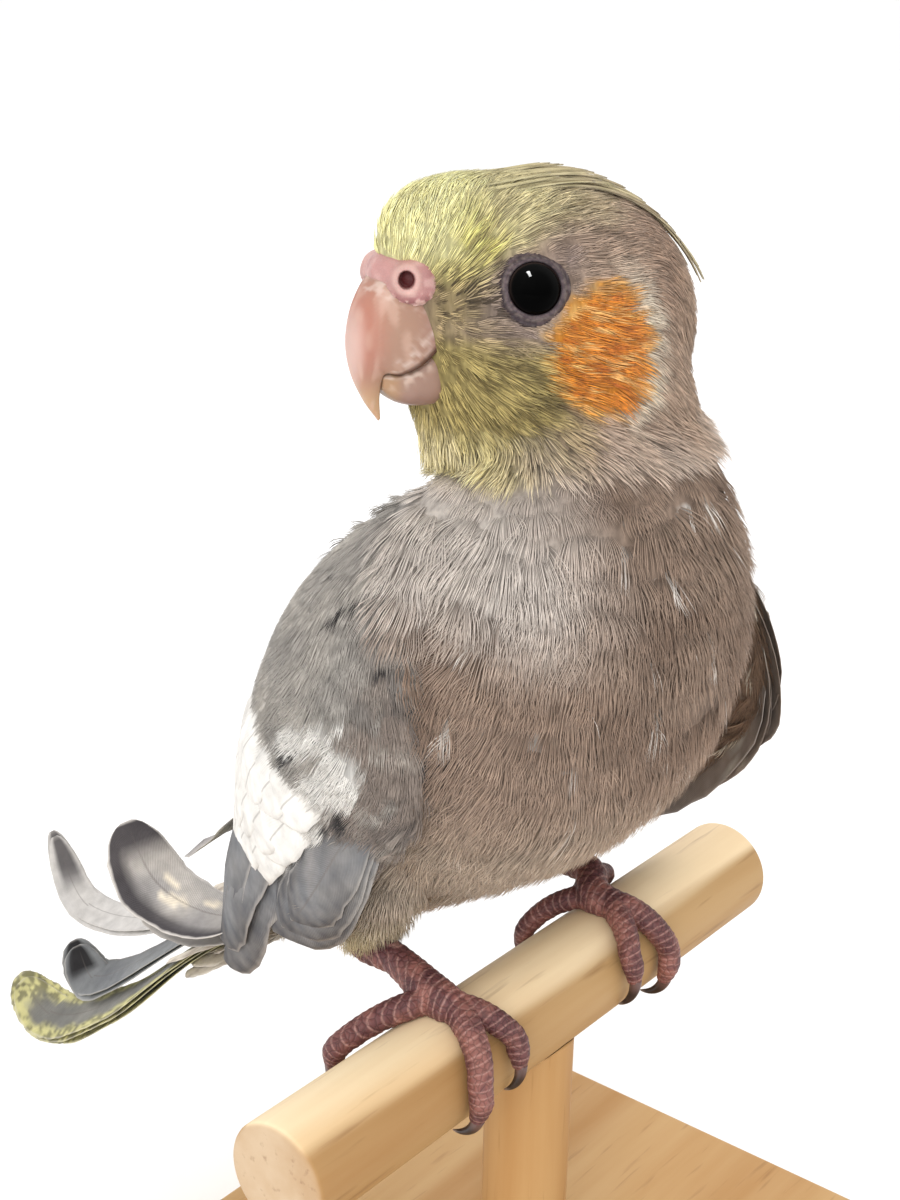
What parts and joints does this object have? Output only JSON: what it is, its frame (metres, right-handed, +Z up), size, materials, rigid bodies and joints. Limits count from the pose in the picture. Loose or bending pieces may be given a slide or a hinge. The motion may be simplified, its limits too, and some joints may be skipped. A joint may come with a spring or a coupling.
{
  "type": "cockatiel display model on a wooden perch",
  "caption": "Young cockatiel gripping a wooden T perch, head turned over its right shoulder, wings loosely folded and tail feathers curled up at the tips.",
  "frame": {"origin": "centre of the stand base's underside", "axes": "+Z up, X along the perch's dowel with +X on the bird's left, and the bird's breast towards -Y"},
  "size_m": [0.108, 0.1698, 0.1771],
  "materials": {
    "head_plumage": "soft short feathers, yellow face with an orange cheek patch",
    "breast_plumage": "soft hair-like feathers, warm grey",
    "wing_plumage": "smooth overlapping feathers, grey with a white bar",
    "tail_plumage": "smooth long feathers, grey, yellow-barred below",
    "bill_horn": "satin horn, pale pink",
    "cere_skin": "bare soft skin, pink",
    "eye": "wet gloss, near black",
    "foot_skin": "finely scaled skin, mauve pink",
    "claw_horn": "satin horn, dark with pale tips",
    "pine": "sanded pale pine"
  },
  "bodies": {
    "root": {"head": "head_plumage", "neck": "breast_plumage", "torso": "breast_plumage", "tail": "tail_plumage", "wing_left": "wing_plumage", "wing_right": "wing_plumage", "thigh_left": "breast_plumage", "thigh_right": "breast_plumage", "foot_left": "foot_skin", "foot_right": "foot_skin", "claw_left_outer_front": "claw_horn", "claw_left_inner_front": "claw_horn", "claw_left_outer_back": "claw_horn", "claw_left_inner_back": "claw_horn", "claw_right_outer_front": "claw_horn", "claw_right_inner_front": "claw_horn", "claw_right_outer_back": "claw_horn", "claw_right_inner_back": "claw_horn", "eye_left": "eye", "eye_right": "eye", "bill_upper": "bill_horn", "bill_lower": "bill_horn", "cere": "cere_skin", "perch": "pine", "stand_post": "pine", "stand_base": "pine"}
  },
  "joints": []
}
